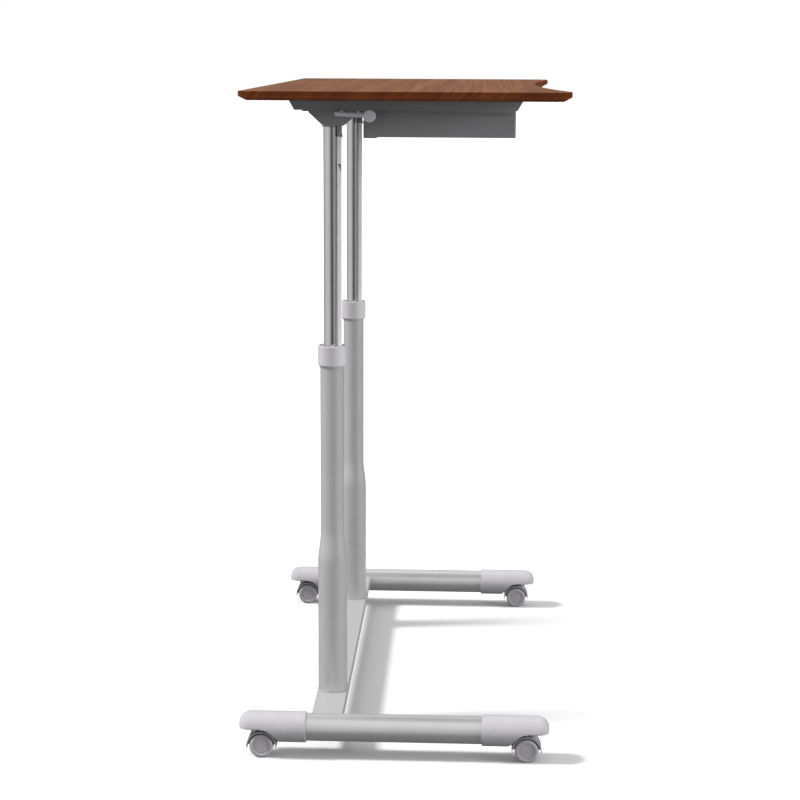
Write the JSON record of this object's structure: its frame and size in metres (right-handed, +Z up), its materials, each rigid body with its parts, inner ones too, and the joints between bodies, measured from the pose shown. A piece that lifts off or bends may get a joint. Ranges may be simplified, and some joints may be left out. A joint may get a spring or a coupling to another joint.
{
  "type": "height-adjustable desk",
  "caption": "Hand-cranked standing desk on twin-wheel casters, with a hollow-fronted wood-look top, telescopic legs, a stowable side crank and a shallow drawer.",
  "frame": {"origin": "on the floor, under the middle of the desk's box", "axes": "+Z up, -Y towards the person who sits at the desk, -X towards the end with the crank"},
  "size_m": [1.2, 0.594, 1.24],
  "materials": {
    "work_top": "fine straight grain laminate, satin",
    "grey_steel": "satin powder coat",
    "silver_steel": "satin silver paint",
    "chrome_tube": "polished",
    "pale_plastic": "fine moulded texture",
    "strip_plastic": "smooth extruded",
    "nut_plastic": "machined acetal",
    "bright_steel": "turned",
    "gear_brass": "cut teeth",
    "knob_plastic": "moulded satin",
    "hood_plastic": "moulded satin",
    "wheel_plastic": "moulded satin"
  },
  "bodies": {
    "base": {"base_beam": "silver_steel", "foot_tube_left": "silver_steel", "foot_tube_right": "silver_steel", "outer_tube_left": "silver_steel", "outer_tube_right": "silver_steel", "collar_left": "pale_plastic", "collar_right": "pale_plastic", "nut_post_left": "silver_steel", "nut_post_right": "silver_steel", "lead_nut_left": "nut_plastic", "lead_nut_right": "nut_plastic", "end_cap_rear_left": "pale_plastic", "end_cap_rear_right": "pale_plastic", "end_cap_front_left": "pale_plastic", "end_cap_front_right": "pale_plastic"},
    "lift": {"table_top": "work_top", "cross_channel": "grey_steel", "side_bracket_left": "grey_steel", "side_bracket_right": "grey_steel", "leg_head_left": "grey_steel", "leg_head_right": "grey_steel", "inner_tube_left": "chrome_tube", "inner_tube_right": "chrome_tube", "tube_bush_left": "nut_plastic", "tube_bush_right": "nut_plastic", "guide_strip_left": "strip_plastic", "guide_strip_right": "strip_plastic", "strip_bracket_left": "grey_steel", "strip_bracket_right": "grey_steel", "drawer_runner_left": "grey_steel", "drawer_runner_right": "grey_steel"},
    "drawer": {"drawer": "grey_steel"},
    "drive": {"drive_shaft": "bright_steel", "drive_gear_left": "gear_brass", "drive_gear_right": "gear_brass"},
    "screw_left": {"lead_screw_left": "bright_steel", "screw_gear_left": "gear_brass"},
    "screw_right": {"lead_screw_right": "bright_steel", "screw_gear_right": "gear_brass"},
    "crank_socket": {"crank_socket": "grey_steel"},
    "crank": {"crank_arm": "silver_steel", "knob_spindle": "bright_steel"},
    "knob": {"crank_knob": "knob_plastic"},
    "caster_rear_left": {"caster_hood_rear_left": "hood_plastic", "caster_axle_rear_left": "bright_steel"},
    "wheel_rear_left_outer": {"wheel_rear_left_outer": "wheel_plastic"},
    "wheel_rear_left_inner": {"wheel_rear_left_inner": "wheel_plastic"},
    "caster_rear_right": {"caster_hood_rear_right": "hood_plastic", "caster_axle_rear_right": "bright_steel"},
    "wheel_rear_right_outer": {"wheel_rear_right_outer": "wheel_plastic"},
    "wheel_rear_right_inner": {"wheel_rear_right_inner": "wheel_plastic"},
    "caster_front_left": {"caster_hood_front_left": "hood_plastic", "caster_axle_front_left": "bright_steel"},
    "wheel_front_left_outer": {"wheel_front_left_outer": "wheel_plastic"},
    "wheel_front_left_inner": {"wheel_front_left_inner": "wheel_plastic"},
    "caster_front_right": {"caster_hood_front_right": "hood_plastic", "caster_axle_front_right": "bright_steel"},
    "wheel_front_right_outer": {"wheel_front_right_outer": "wheel_plastic"},
    "wheel_front_right_inner": {"wheel_front_right_inner": "wheel_plastic"}
  },
  "joints": [
    {"name": "lift_slide", "type": "slide", "parent": "base", "child": "lift", "axis": [0, 0, 1], "range_m": [-0.39, 0]},
    {"name": "drawer_slide", "type": "slide", "parent": "lift", "child": "drawer", "axis": [0, -1, 0], "range_m": [0, 0.2]},
    {"name": "drive_turn", "type": "hinge", "parent": "lift", "child": "drive", "pos_m": [0, 0.1197, 1.194], "axis": [1, 0, 0], "range_deg": [-28080, 0]},
    {"name": "screw_turn_left", "type": "hinge", "parent": "lift", "child": "screw_left", "pos_m": [-0.302, 0.1367, 1.194], "axis": [0, 0, 1], "range_deg": [-28080, 0]},
    {"name": "screw_turn_right", "type": "hinge", "parent": "lift", "child": "screw_right", "pos_m": [0.302, 0.1367, 1.194], "axis": [0, 0, 1], "range_deg": [-28080, 0]},
    {"name": "crank_turn", "type": "hinge", "parent": "lift", "child": "crank_socket", "pos_m": [-0.3705, 0.1197, 1.194], "axis": [1, 0, 0], "range_deg": [-12, 192]},
    {"name": "crank_pull", "type": "slide", "parent": "crank_socket", "child": "crank", "axis": [-1, 0, 0], "range_m": [0, 0.24]},
    {"name": "knob_spin", "type": "hinge", "parent": "crank", "child": "knob", "pos_m": [-0.38, 0.0581, 1.1914], "axis": [1, 0, 0], "continuous": true},
    {"name": "swivel_rear_left", "type": "hinge", "parent": "base", "child": "caster_rear_left", "pos_m": [-0.476, 0.2675, 0], "axis": [0, 0, 1], "continuous": true},
    {"name": "spin_rear_left_outer", "type": "hinge", "parent": "caster_rear_left", "child": "wheel_rear_left_outer", "pos_m": [-0.4792, 0.255, 0.0225], "axis": [1, 0, 0], "continuous": true},
    {"name": "spin_rear_left_inner", "type": "hinge", "parent": "caster_rear_left", "child": "wheel_rear_left_inner", "pos_m": [-0.4728, 0.255, 0.0225], "axis": [1, 0, 0], "continuous": true},
    {"name": "swivel_rear_right", "type": "hinge", "parent": "base", "child": "caster_rear_right", "pos_m": [0.476, 0.2675, 0], "axis": [0, 0, 1], "continuous": true},
    {"name": "spin_rear_right_outer", "type": "hinge", "parent": "caster_rear_right", "child": "wheel_rear_right_outer", "pos_m": [0.4792, 0.255, 0.0225], "axis": [1, 0, 0], "continuous": true},
    {"name": "spin_rear_right_inner", "type": "hinge", "parent": "caster_rear_right", "child": "wheel_rear_right_inner", "pos_m": [0.4728, 0.255, 0.0225], "axis": [1, 0, 0], "continuous": true},
    {"name": "swivel_front_left", "type": "hinge", "parent": "base", "child": "caster_front_left", "pos_m": [-0.476, -0.256, 0], "axis": [0, 0, 1], "continuous": true},
    {"name": "spin_front_left_outer", "type": "hinge", "parent": "caster_front_left", "child": "wheel_front_left_outer", "pos_m": [-0.4792, -0.2435, 0.0225], "axis": [1, 0, 0], "continuous": true},
    {"name": "spin_front_left_inner", "type": "hinge", "parent": "caster_front_left", "child": "wheel_front_left_inner", "pos_m": [-0.4728, -0.2435, 0.0225], "axis": [1, 0, 0], "continuous": true},
    {"name": "swivel_front_right", "type": "hinge", "parent": "base", "child": "caster_front_right", "pos_m": [0.476, -0.256, 0], "axis": [0, 0, 1], "continuous": true},
    {"name": "spin_front_right_outer", "type": "hinge", "parent": "caster_front_right", "child": "wheel_front_right_outer", "pos_m": [0.4792, -0.2435, 0.0225], "axis": [1, 0, 0], "continuous": true},
    {"name": "spin_front_right_inner", "type": "hinge", "parent": "caster_front_right", "child": "wheel_front_right_inner", "pos_m": [0.4728, -0.2435, 0.0225], "axis": [1, 0, 0], "continuous": true}
  ],
  "couplings": [
    {"joint": "drive_turn", "follows": "lift_slide", "rad_per_m": 1256.6},
    {"joint": "screw_turn_left", "follows": "lift_slide", "rad_per_m": 1256.6},
    {"joint": "screw_turn_right", "follows": "lift_slide", "rad_per_m": 1256.6}
  ]
}
